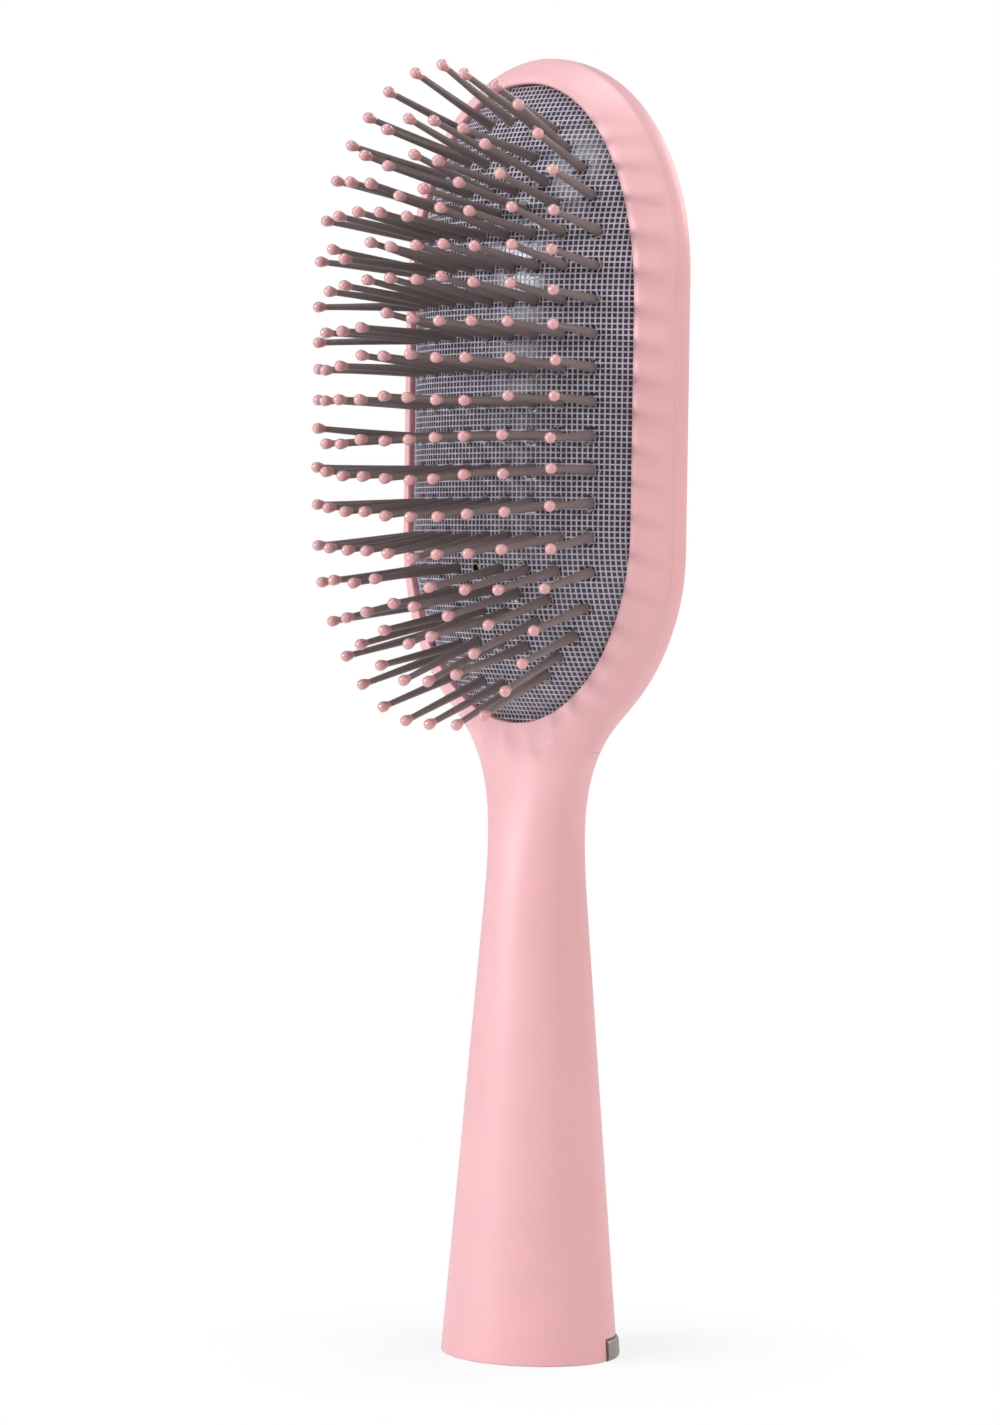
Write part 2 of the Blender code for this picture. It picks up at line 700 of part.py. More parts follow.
def build_rake(parts, cutters, finish):
    """Cleaning rake: a flat stem seated in the plug, a cross bar and tapered tines, stored in the handle."""
    rake = box(
        "cleaning_rake",
        (-STEM_WIDTH / 2, -STEM_DEPTH / 2, PLUG_HEIGHT - STEM_SEAT + GAP),
        (STEM_WIDTH / 2, STEM_DEPTH / 2, RAKE_Z + RAKE_HEIGHT / 2),
        parts,
    )
    bar = box(
        "rake_bar",
        (-RAKE_WIDTH / 2, -STEM_DEPTH / 2 - GAP, RAKE_Z),
        (RAKE_WIDTH / 2, STEM_DEPTH / 2 + GAP, RAKE_Z + RAKE_HEIGHT),
        cutters,
    )
    boolean(rake, as_cutter(bar), "UNION")
    for i in range(TINE_COUNT):
        x = (i - (TINE_COUNT - 1) / 2) * TINE_PITCH
        work = bmesh.new()
        bmesh.ops.create_cone(
            work,
            cap_ends=True,
            segments=8,
            radius1=TINE_RADIUS,
            radius2=TINE_TIP_RADIUS,
            depth=TINE_LENGTH + RAKE_HEIGHT / 2,
        )
        middle = RAKE_Z + RAKE_HEIGHT / 2 + (TINE_LENGTH + RAKE_HEIGHT / 2) / 2
        bmesh.ops.translate(work, verts=work.verts, vec=(x, 0.0, middle))
        mesh = bpy.data.meshes.new(f"tine_{i + 1}")
        work.to_mesh(mesh)
        work.free()
        tine = bpy.data.objects.new(f"tine_{i + 1}", mesh)
        cutters.objects.link(tine)
        boolean(rake, as_cutter(tine), "UNION")
    return finish_part(rake, finish)


def main():
    clear_scene()
    parts = collection("cushion_brush")
    cutters = collection("cutters")
    pink = material("pink_plastic", (0.89, 0.53, 0.53), 0.42)
    cover_pink = material("cover_pink_plastic", (0.87, 0.51, 0.51), 0.42)
    rubber = material("grey_membrane", (0.20, 0.19, 0.22), 0.6)
    ring_grey = material("ring_plastic", (0.30, 0.28, 0.28), 0.5)
    pin_grey = material("pin_plastic", (0.17, 0.15, 0.14), 0.45)
    plug_grey = material("plug_plastic", (0.27, 0.24, 0.23), 0.5)
    build_frame(parts, cutters, pink)
    build_cover(parts, cutters, cover_pink)
    build_cushion_rim(parts, rubber)
    build_retaining_ring(parts, ring_grey)
    half = FULL_ROWS_EACH_SIDE + len(SHORT_ROWS)
    for number in range(1, row_count() + 1):
        build_row(half + 1 - number, number, parts, cutters, pin_grey)
    build_plug(parts, cutters, plug_grey)
    build_rake(parts, cutters, plug_grey)


main()
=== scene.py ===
"""Cushion hair brush: body shells, a woven net on a rubber cushion, pins with ball ends, light and camera."""

import math

import bmesh
import bpy
import numpy as np
from mathutils import Matrix, Vector


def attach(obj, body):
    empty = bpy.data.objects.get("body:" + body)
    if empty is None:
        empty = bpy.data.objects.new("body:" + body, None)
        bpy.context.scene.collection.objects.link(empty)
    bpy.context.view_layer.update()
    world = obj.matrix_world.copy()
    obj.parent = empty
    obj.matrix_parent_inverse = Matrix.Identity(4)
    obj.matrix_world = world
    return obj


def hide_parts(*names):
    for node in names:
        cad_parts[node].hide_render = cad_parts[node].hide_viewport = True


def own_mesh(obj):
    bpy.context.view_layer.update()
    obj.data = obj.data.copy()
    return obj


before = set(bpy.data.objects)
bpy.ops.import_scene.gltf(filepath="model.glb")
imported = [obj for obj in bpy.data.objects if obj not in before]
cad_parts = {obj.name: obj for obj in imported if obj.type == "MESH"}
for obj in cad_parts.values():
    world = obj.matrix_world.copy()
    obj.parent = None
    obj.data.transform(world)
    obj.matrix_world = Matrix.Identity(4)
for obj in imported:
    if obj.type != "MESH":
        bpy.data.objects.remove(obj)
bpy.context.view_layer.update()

# Head outlines and section, as in the solid model, in metres
HEAD_CENTRE_Z = 0.1725
OPENING_HALF_WIDTH = 0.0294
# Each end of an outline: straight length from the centre, height of the cap and power of its roundness
OPENING_TOP = (0.0170, 0.0405, 2.1)
OPENING_BOTTOM = (0.0220, 0.0355, 2.0)
HEAD_TOP = (0.0248, 0.0376, 1.97)
HEAD_BOTTOM = (0.0294, 0.0348, 1.81)
CAP_GROWTH_OUTSIDE = 1.85
LIP_FORWARD = 0.0062
LIP_LAND = 0.0010
SLOPE_WIDTH = 0.0044
SLOPE_HOLLOW = 0.18
WIDEST_FORWARD = 0.0009
BACK_DEPTH = 0.0101
BACK_ROUND = 0.0335
BACK_POWER = 2.9
LIP_DEPTH = 0.0028
POCKET_WIDTH = 0.0015
COVER_WALL = 0.0020
HEAD_EDGE = LIP_LAND + SLOPE_WIDTH
WIDEST_Y = -WIDEST_FORWARD
HEAD_TOP_Z = HEAD_CENTRE_Z + HEAD_TOP[0] + HEAD_TOP[1]
POCKET_FRONT = LIP_DEPTH - LIP_FORWARD
LIP_ROUND = 0.00035
EDGE_ROUND = 0.0014
# Share of the slope's width over which it starts softly, at two heights of the neck
SOFT_START_HEIGHTS = (0.108, 0.136)
SOFT_START_SHARES = (0.95, 0.15)
HOLLOW_LEAST_DEPTH = 0.0020

# Handle
FOOT_HALF_WIDTH = 0.0170
FOOT_HALF_DEPTH = 0.01525
WIDTH_TAPER = 0.0843
DEPTH_TAPER = 0.0788
NECK_BLEND = 0.0149
BLEND_START_Z = 0.0847
BLEND_END_Z = 0.1271
HANDLE_WALL = 0.0020
HOLLOW_TOP_Z = 0.084
COVER_END_Z = 0.110
SEAM_GAP = 0.00004
# Height and inset of each ring of the rounded foot
FOOT_ROUND = ((0.0, 0.0004), (0.00005, 0.00022), (0.00018, 0.00007))
FOOT_ROUND_HEIGHT = 0.0004
PLUG_HEIGHT = 0.0070
PULL_LIP_HEIGHT = 0.0037
PULL_LIP_PROUD = 0.0005
PULL_LIP_ROUND = 0.0007
PULL_LIP_FRONT = 0.0042
STEM_WIDTH = 0.0070
STEM_DEPTH = 0.0032
STEM_SEAT = 0.0040
RAKE_Z = 0.0560
RAKE_WIDTH = 0.0150
RAKE_HEIGHT = 0.0045
RAKE_EDGE_ROUND = 0.0004
TINE_COUNT = 5
TINE_PITCH = 0.0031
TINE_RADIUS = 0.0009
TINE_TIP_RADIUS = 0.0004
TINE_LENGTH = 0.0130
TINE_SUNK = 0.0005
GAP = 0.0003

# Cutting tools: how far they reach past the faces that they cut
PAST = 0.004
JUST_PAST = 0.001
LIP_CUT_FLARE = 0.0001
HEAD_CUT_HALF_WIDTH = 0.06
HEAD_CUT_BACK_Y = 0.02
HEAD_CUT_CORNER = (HEAD_CUT_HALF_WIDTH, HEAD_CUT_BACK_Y, 0.25)
NOTCH_CUT_REACH = 0.03

# Cushion, net and pins
CROWN_HEIGHT = 0.0114
CUSHION_EDGE_FORWARD = 0.0046
CROWN_POWER = 2.5
CROWN_BOTTOM_FLAT = 0.0010
MEMBRANE = 0.0016
SHEET_PITCH = 0.0004
SHEET_EDGE_GAP = 0.0001
FLANGE_THICKNESS = 0.0012
FLANGE_INNER_WIDTH = 0.0012
NET_PITCH = 0.00099
THREAD_HALF = 0.00013
# Section of a thread: across in half widths, and its height as a share of the lift
THREAD_SECTION = ((-1.0, 0.0), (-0.8, 0.75), (0.0, 1.0), (0.8, 0.75), (1.0, 0.0))
NET_LIFT = 0.00014
UNDER_SHARE = 0.66
NET_THICKNESS = 0.0001
NET_CLEARANCE = 0.00002
NET_EDGE_GAP = 0.00012
NET_WANDER = 0.01
NET_BEND = 0.00012
# Lengths over which the bent lattice swings: for its sideways bend, then for its upward one
NET_SWINGS = ((0.011, 0.009), (0.010, 0.012))
NET_SWING_STARTS = (1.3, 0.4)
DIP_DEPTH = 0.00045
DIP_RADIUS = 0.00145
DIP_FLOOR = 0.00105
ROW_PITCH = 0.0060
PIN_FIELD_HALF_WIDTH = 0.0229
PIN_LENGTH = 0.0200
PIN_ROOT_RADIUS = 0.00094
PIN_TOP_RADIUS = 0.00056
PIN_TAPER_POWER = 1.35
PIN_SUNK = 0.0012
PIN_SIDES = 18
BALL_RADIUS = 0.00100
BALL_LENGTH = 0.0025
BALL_OVERLAP = 0.0004
BALL_COLLAR = 0.00005
BALL_COLLAR_SHARE = 1.06
BALL_START_SHARE = 0.98
BALL_SWELL_POWER = 1.15
FAN_ACROSS = 0.340
FAN_ACROSS_CUBIC = 0.110
FAN_GROWS_UPWARD = 0.12
FAN_ALONG = 0.355
FAN_ALONG_CUBIC = 0.050
FAN_ALONG_SIDE_DROP = 0.31
FAN_ALONG_REACH = 0.052
FULL_ROWS = 9
FULL_ROW_PINS = 10
# Short rows from the top down: pins, half-width, height at the middle and at the ends from the head's centre
SHORT_ROWS = (
    (5, 0.0106, 0.0505, 0.0485),
    (6, 0.0142, 0.0427, 0.0451),
    (7, 0.0180, 0.0372, 0.0415),
    (8, 0.0208, 0.0335, 0.0365),
    (9, 0.0226, 0.0297, 0.0302),
)
FULL_HEIGHTS = [((FULL_ROWS - 1) / 2 - i) * ROW_PITCH for i in range(FULL_ROWS)]
# Every row from the top down: full ones in the middle, short ones above and mirrored below
ROWS = (
    *SHORT_ROWS,
    *((FULL_ROW_PINS, PIN_FIELD_HALF_WIDTH, height, height) for height in FULL_HEIGHTS),
    *((count, wide, -middle, -ends) for count, wide, middle, ends in reversed(SHORT_ROWS)),
)
VENT_ROW = 14
VENT_PIN = 4
VENT_RADIUS = 0.0008
# Shares of the vent's radius between which points of the sheet are drawn to its edge
VENT_DRAWN = (0.6, 1.2)
VENT_NET_GAP = 0.0001
# Section of the vent's eyelet: height over the crown, and distance out from the vent's edge
VENT_RING = (
    (-0.00005, 0.0),
    (0.00015, 0.00004),
    (0.00028, 0.00010),
    (0.00028, 0.00015),
    (0.00015, 0.00020),
    (-0.00005, 0.00020),
)
# How far each pin leans from the even fan, in steps of half a degree: sideways and up, 0 and 0 at the vent
LEAN_STEP = 0.5
LEANS = (
    (-2, 4, -1, 9, 0, 11, -2, 2, 2, 0),
    (-3, 4, 5, -7, -3, 7, -5, 2, -7, -13, 8, 5),
    (0, 3, -1, 0, 5, -8, 0, 5, -10, -7, 0, 2, 4, 0),
    (-1, 2, 0, 2, 0, 1, 10, -14, 1, -8, 2, -5, 1, -1, 2, -3),
    (1, 2, 0, 1, 1, 1, 1, -3, 4, -10, 8, -2, 1, -6, 2, -1, -8, -3),
    (-2, -2, -1, 6, -7, -9, 4, 5, 1, -2, 2, -2, 1, -1, 0, -3, -1, 0, -8, -3),
    (-2, -14, -3, 0, -5, 3, 1, 6, 1, 6, 4, 3, 0, 6, 1, 0, 0, 0, -3, -6),
    (-1, -14, -13, -5, -8, -6, -8, -4, -4, 10, -1, 3, -1, 0, 0, 0, -2, 0, -2, -2),
    (2, -3, -12, -6, -12, -3, -7, 7, -7, 5, -3, 6, -4, 2, -7, 2, 2, 2, 2, 0),
    (1, 3, -13, 1, -14, 1, -9, 0, -5, 3, -6, 1, -3, -2, -7, -3, 1, 2, 2, 2),
    (-1, 12, -9, -7, -10, -7, -7, -2, -3, -4, -3, -3, -4, -1, -7, 0, -5, 1, -1, -3),
    (-3, 8, -8, 3, -4, -1, -2, -1, -2, -3, -1, -5, -6, -4, -6, 0, -3, 0, 1, 5),
    (0, 6, 0, 4, 2, 1, 2, 2, -1, -2, 0, -3, 1, -3, -1, -1, 0, 0, 1, 5),
    (2, 0, 2, 0, 6, 0, 5, 1, 3, -1, 2, -6, 0, -2, 1, -2, -3, 1, 3, -1),
    (4, 1, 2, 6, 5, 5, 4, 11, 0, 0, 4, 3, 7, 0, -1, -1, -3, -1),
    (6, 2, 6, 1, 6, 4, 12, 12, -1, 9, 0, 2, 1, -3, -3, -2),
    (3, 0, 5, 2, 12, 11, 5, -6, -5, 6, 1, -4, 3, -1),
    (-2, -3, 9, 13, 5, -7, 1, -7, -2, 6, 9, -4),
    (2, 0, 0, -1, 0, 1, 2, -3, 2, -5),
)

# Glue at the pin roots: the range in which each value is drawn, the count staying below its upper end
GLUE_STRANDS = (1, 7)
GLUE_TURN = (0.2, 0.7)
GLUE_RADIUS = (0.00005, 0.00012)
GLUE_REACH = (0.0001, 0.0008)
GLUE_WAVE = 0.00018
GLUE_RISE = 0.0001

# Mesh fineness
STATIONS = 110
HANDLE_RINGS = 30
NECK_RINGS = 72
SIDE_RINGS = 36
CAP_STEPS = 44
CLEAR_OF_BOTTOM = 0.0004
CLEAR_OF_TOP = 0.0002
TIP_TRIM = 0.00003
OUTLINE_STEPS = 72
OVAL_POINTS = 96
OFFSET_SEARCH_STEPS = 44
WIDTH_SEARCH_STEPS = 38
LEAST_SPAN = 0.0003
CROWN_SAMPLES = (241, 401)

# Camera
CAMERA_AT = (0.6259, -0.5859, 0.1446)
CAMERA_RIGHT = (0.6770, 0.7358, 0.0147)
CAMERA_UP = (-0.0339, 0.0113, 0.9994)
CAMERA_LENS = 119.3

# Lamps: name, turn from the front and height in degrees, distance, width and height in metres, watts, colour
LAMPS = (
    ("key", -25, 14, 1.2, 0.5, 0.16, 9.0, (0.92, 1.01, 1.05)),
    ("front_high", 0, 42, 1.2, 0.4, 0.3, 3.2, (0.90, 1.0, 1.04)),
    ("top", 0, 86, 1.2, 0.6, 0.6, 6.0, (0.85, 1.03, 1.08)),
    ("right_front", 75, 25, 1.2, 0.5, 0.4, 3.0, (1.0, 0.99, 0.98)),
    ("right_back", 120, 20, 1.2, 0.5, 0.5, 4.0, (1.0, 0.97, 0.96)),
    ("back", 180, 25, 1.2, 0.5, 0.5, 3.6, (1.0, 1.0, 1.0)),
)
LAMPS_AIM = (0.0, 0.0, 0.12)
WORLD_STRENGTH = 0.05
# Share of the plain white surroundings that shows in a gloss
GLOSS_SHARE = 0.35
FLOOR_COLOUR = (0.95, 0.95, 0.95, 1.0)
FLOOR_ROUGHNESS = 0.9
FLOOR_SIZE = 4.0
FLOOR_DROP = 0.00005
# Distances from the foot between which the floor turns from shadowed to plain white, and its white share
SHADOW_FADE = (0.015, 0.07)
SHADOW_WHITE_SHARE = 0.75

# Finishes: how fine each unevenness is in waves a metre, and how deep it goes in metres
TINT_WAVES = 55
SHINE_WAVES = 900
SHINE_RANGE = (-0.04, 0.05)
GRAIN_WAVES = 5200
GRAIN_DEPTH = 0.00004
UNEVEN_WAVES = 38
UNEVEN_DEPTH = 0.0006
UNEVEN_STRENGTH = 0.05
COAT_ROUGHNESS = 0.16
MILKY_COLOUR_REACH = (1.0, 0.35, 0.2)
MILKY_DEPTH = 0.0012

ROOT = bpy.context.scene.collection
RANDOM = np.random.default_rng(7)


def linear(red, green, blue):
    """A colour given in 0 to 255 display values, as linear light."""
    values = [c / 255 for c in (red, green, blue)]
    return tuple(c / 12.92 if c <= 0.04045 else ((c + 0.055) / 1.055) ** 2.4 for c in values)


class Nodes:
    """Short way to build the nodes of a material or a world."""

    def __init__(self, material):
        self.material = material
        material.use_nodes = True
        self.tree = material.node_tree
        self.shader = self.tree.nodes.get("Principled BSDF")

    def add(self, kind, **inputs):
        node = self.tree.nodes.new(kind)
        for key, value in inputs.items():
            node.inputs[key.replace("_", " ")].default_value = value
        return node

    def link(self, out, into):
        self.tree.links.new(out, into)

    def set(self, **inputs):
        for key, value in inputs.items():
            self.shader.inputs[key.replace("_", " ")].default_value = value


def noise(made, waves, detail):
    """Noise over the object's own coordinates, with so many waves a metre."""
    place = made.add("ShaderNodeTexCoord")
    texture = made.add("ShaderNodeTexNoise", Scale=waves, Detail=detail, Roughness=0.5)
    made.link(place.outputs["Object"], texture.inputs["Vector"])
    return texture.outputs["Fac"]


def ramp(made, fac, low, high):
    """A colour that goes from low to high over the middle part of the factor."""
    node = made.add("ShaderNodeValToRGB")
    for stop, position, colour in zip(node.color_ramp.elements, (0.3, 0.7), (low, high)):
        stop.position = position
        stop.color = (*colour, 1.0)
    made.link(fac, node.inputs["Fac"])
    return node.outputs["Color"]


def bump(made, fac, strength, distance, under=None):
    """The surface direction bent by a height, on top of the bump under it if one is given."""
    node = made.add("ShaderNodeBump", Strength=strength, Distance=distance)
    made.link(fac, node.inputs["Height"])
    if under is not None:
        made.link(under, node.inputs["Normal"])
    return node.outputs["Normal"]


def vary(colour, share):
    """A colour made lighter or darker."""
    return tuple(min(1.0, c * share) for c in colour)


def plastic(name, colour, roughness, grain, spread=0.03, coat=0.0, milky=0.0):
    """Moulded plastic: faint uneven colour, uneven gloss and a fine moulded grain."""
    made = Nodes(bpy.data.materials.new(name))
    made.set(Coat_Weight=coat, Coat_Roughness=COAT_ROUGHNESS)
    made.set(Subsurface_Weight=milky, Subsurface_Radius=MILKY_COLOUR_REACH, Subsurface_Scale=MILKY_DEPTH)
    tint = ramp(made, noise(made, TINT_WAVES, 3), vary(colour, 1 - spread), vary(colour, 1 + spread))
    made.link(tint, made.shader.inputs["Base Color"])
    shine = made.add("ShaderNodeMapRange", To_Min=roughness + SHINE_RANGE[0],
                     To_Max=roughness + SHINE_RANGE[1])
    made.link(noise(made, SHINE_WAVES, 2), shine.inputs["Value"])
    made.link(shine.outputs["Result"], made.shader.inputs["Roughness"])
    fine = bump(made, noise(made, GRAIN_WAVES, 2), grain, GRAIN_DEPTH)
    uneven = bump(made, noise(made, UNEVEN_WAVES, 1), UNEVEN_STRENGTH, UNEVEN_DEPTH, fine)
    made.link(uneven, made.shader.inputs["Normal"])
    return made


def outline_shape(upward, offset):
    """Straight length, cap height and roundness of the outline moved outward by offset."""
    share = np.clip(offset / HEAD_EDGE, 0, 1)
    growth = np.minimum(offset, 0) + CAP_GROWTH_OUTSIDE * np.maximum(offset - HEAD_EDGE, 0)
    picked = []
    for i in range(3):
        top = OPENING_TOP[i] + share * (HEAD_TOP[i] - OPENING_TOP[i])
        bottom = OPENING_BOTTOM[i] + share * (HEAD_BOTTOM[i] - OPENING_BOTTOM[i])
        picked.append(np.where(upward, top, bottom))
    return picked[0], picked[1] + growth, picked[2]


def outline_end(upward, offset):
    """Height of the outline's top or bottom."""
    straight, cap, _ = outline_shape(upward, offset)
    return HEAD_CENTRE_Z + float(straight + cap) * (1 if upward else -1)


def offset_at(x, z):
    """The outward offset of the opening's outline that passes through each point."""
    shape = np.broadcast(x, z).shape
    low = np.full(shape, LEAST_SPAN - OPENING_HALF_WIDTH)
    high = np.full(shape, HEAD_TOP_Z)
    for _ in range(OFFSET_SEARCH_STEPS):
        middle = (low + high) / 2
        straight, cap, power = outline_shape(z > HEAD_CENTRE_Z, middle)
        along = np.maximum(0.0, np.abs(z - HEAD_CENTRE_Z) - straight) / np.maximum(cap, LEAST_SPAN)
        size = (np.abs(x) / (OPENING_HALF_WIDTH + middle)) ** power + along**power
        low = np.where(size > 1, middle, low)
        high = np.where(size > 1, high, middle)
    return (low + high) / 2


def body_offset(x, z):
    """The head's offset field joined smoothly with the handle's."""
    head = offset_at(x, z)
    neck = np.abs(x) - (FOOT_HALF_WIDTH - WIDTH_TAPER * z) + HEAD_EDGE
    mix = np.clip(0.5 + 0.5 * (neck - head) / NECK_BLEND, 0, 1)
    joined = neck * (1 - mix) + head * mix - NECK_BLEND * mix * (1 - mix)
    return np.where(z > HEAD_CENTRE_Z, head, joined)


def half_widths(z, inset):
    """Half the body's width at each height, less the inset."""
    low = np.zeros_like(z)
    high = np.full_like(z, OPENING_HALF_WIDTH + HEAD_EDGE + NECK_BLEND)
    for _ in range(WIDTH_SEARCH_STEPS):
        middle = (low + high) / 2
        inside = body_offset(middle, z) < HEAD_EDGE - inset
        low = np.where(inside, middle, low)
        high = np.where(inside, high, middle)
    return low


def front_profile(offset, soft):
    """Y of the front face: the lip, its slope with a soft start and the soft turn at the widest line."""
    share = np.clip((offset - LIP_LAND) / SLOPE_WIDTH, 0, 1)
    down = np.where(share < soft, share**2 / (2 * soft), share - soft / 2) / (1 - soft / 2)
    left = (LIP_FORWARD - WIDEST_FORWARD) * (1 - (1 - SLOPE_HOLLOW) * down - SLOPE_HOLLOW * down**2)
    turn = 2 * EDGE_ROUND * SLOPE_WIDTH * (1 - down) * down**2
    return WIDEST_Y - np.sqrt(left**2 + turn)


def back_profile(offset):
    """Y of the back face: nearly flat, rounded towards the widest line."""
    inward = np.clip((HEAD_EDGE - offset) / BACK_ROUND, 0, 1)
    return WIDEST_Y + BACK_DEPTH * (1 - (1 - inward) ** BACK_POWER) ** (1 / BACK_POWER)


def body_rings(levels, inset=0.0):
    """Closed rings of the body at each height: front from -X to +X, then back again."""
    z = np.asarray(levels, float)
    wide = half_widths(z, inset)[:, None]
    t = np.clip((z - BLEND_START_Z) / (BLEND_END_Z - BLEND_START_Z), 0, 1)
    share = (t * t * (3 - 2 * t))[:, None]
    deep = (FOOT_HALF_DEPTH - DEPTH_TAPER * z)[:, None]
    across = np.sin(np.linspace(-math.pi / 2, math.pi / 2, STATIONS))[None, :]
    height = np.broadcast_to(z[:, None], (len(z), STATIONS))
    offset = body_offset(np.abs(across) * (wide + inset), height)
    bulge = deep * np.sqrt(np.maximum(0.0, 1 - across**2))
    middle = share * WIDEST_Y
    soft = np.interp(z, SOFT_START_HEIGHTS, SOFT_START_SHARES)[:, None]
    front = np.minimum((1 - share) * -bulge + share * front_profile(offset, soft) + inset, middle)
    back = np.maximum((1 - share) * bulge + share * back_profile(offset) - inset, middle)
    for side in (0, -1):
        front[:, side] = middle[:, 0]
        back[:, side] = middle[:, 0]
    x = across * wide
    fronts = np.stack([x, front, height], -1)
    backs = np.stack([x, back, height], -1)[:, -2:0:-1]
    return np.concatenate([fronts, backs], 1)


def body_levels(bottom, top):
    """Heights of the rings, close together where the outline turns."""
    flank = HEAD_CENTRE_Z - HEAD_BOTTOM[0]
    cap_start = HEAD_CENTRE_Z + HEAD_TOP[0]
    handle = np.linspace(0.0, BLEND_START_Z, HANDLE_RINGS)
    neck = np.linspace(BLEND_START_Z, flank, NECK_RINGS)[1:]
    side = np.linspace(flank, cap_start, SIDE_RINGS)[1:]
    cap = cap_start + HEAD_TOP[1] * np.sin(np.linspace(0, math.pi / 2, CAP_STEPS + 2)[1:-1])
    between = (bottom + CLEAR_OF_BOTTOM, top - CLEAR_OF_TOP)
    levels = [z for z in (*handle, *neck, *side, *cap) if between[0] < z < between[1]]
    return [bottom, *levels, top - TIP_TRIM]


def new_object(name, points, faces, finish=None, smooth=True, turn_faces=True):
    """A mesh object, with its faces turned outward unless they are so already."""
    mesh = bpy.data.meshes.new(name)
    mesh.from_pydata([tuple(map(float, p)) for p in points], [], [tuple(map(int, f)) for f in faces])
    if turn_faces:
        work = bmesh.new()
        work.from_mesh(mesh)
        bmesh.ops.recalc_face_normals(work, faces=work.faces)
        work.to_mesh(mesh)
        work.free()
    obj = bpy.data.objects.new(name, mesh)
    ROOT.objects.link(obj)
    if finish:
        mesh.materials.append(finish.material)
    if smooth:
        mesh.shade_smooth()
    return obj


def loft(rings, closed=False):
    """Points and faces through rings of equal count, which close on the first ring or end in caps."""
    count = len(rings[0])
    points = [p for ring in rings for p in ring]
    faces = []
    turns = len(rings) if closed else len(rings) - 1
    for r in range(turns):
        s = (r + 1) % len(rings)
        for i in range(count):
            j = (i + 1) % count
            faces.append((r * count + i, r * count + j, s * count + j, s * count + i))
    if not closed:
        faces.append(tuple(range(count))[::-1])
        faces.append(tuple((len(rings) - 1) * count + i for i in range(count)))
    return points, faces


def apply_modifiers(obj):
    """Makes what the modifiers show the object's own mesh."""
    bpy.context.view_layer.update()
    graph = bpy.context.evaluated_depsgraph_get()
    mesh = bpy.data.meshes.new_from_object(obj.evaluated_get(graph))
    obj.modifiers.clear()
    old = obj.data
    obj.data = mesh
    bpy.data.meshes.remove(old)


def boolean(obj, tool, operation):
    """Applies one exact Boolean and drops the tool."""
    modifier = obj.modifiers.new(operation.title(), "BOOLEAN")
    modifier.operation = operation
    modifier.solver = "EXACT"
    modifier.object = tool
    apply_modifiers(obj)
    bpy.data.objects.remove(tool, do_unlink=True)


def box_tool(low, high):
    """A box between two corners."""
    corners = [(x, y, z) for z in (low[2], high[2]) for x, y in (
        (low[0], low[1]), (high[0], low[1]), (high[0], high[1]), (low[0], high[1]))]
    points, faces = loft([corners[:4], corners[4:]])
    return new_object("tool", points, faces, smooth=False)


def outline_points(offset):
    """The opening's outline moved outward by offset, as (x, z) points in order round the head."""
    ends = []
    for upward, side in ((True, 1), (False, -1)):
        straight, cap, power = (float(v) for v in outline_shape(upward, np.float64(offset)))
        for i in range(OUTLINE_STEPS + 1):
            angle = math.pi * i / OUTLINE_STEPS
            turn = math.cos(angle)
            across = (OPENING_HALF_WIDTH + offset) * math.copysign(abs(turn) ** (2 / power), turn)
            along = straight + cap * abs(math.sin(angle)) ** (2 / power)
            ends.append((side * across, HEAD_CENTRE_Z + side * along))
    return ends


def outline_tool(profile):
    """A plug of the opening's outline through (offset, y) levels."""
    rings = [[(x, y, z) for x, z in outline_points(offset)] for offset, y in profile]
    points, faces = loft(rings)
    return new_object("tool", points, faces, smooth=False)


def oval_rings(levels):
    """Rings of the handle's oval cone through (height, growth) levels."""
    angles = np.linspace(0, 2 * math.pi, OVAL_POINTS + 1)[:-1]
    rings = []
    for z, grow in levels:
        wide = FOOT_HALF_WIDTH - WIDTH_TAPER * z + grow
        deep = FOOT_HALF_DEPTH - DEPTH_TAPER * z + grow
        rings.append([(wide * math.cos(a), deep * math.sin(a), z) for a in angles])
    return rings


def oval_object(name, levels):
    """A solid through the handle's oval rings."""
    points, faces = loft(oval_rings(levels))
    return new_object(name, points, faces, smooth=False)


def finish_shell(obj, finish, angle=32):
    """Smooth shading that follows the big faces, with real edges left sharp."""
    obj.data.materials.clear()
    obj.data.materials.append(finish.material)
    obj.data.shade_smooth()
    obj.data.set_sharp_from_angle(angle=math.radians(angle))
    even = obj.modifiers.new("Even normals", "WEIGHTED_NORMAL")
    even.keep_sharp = True


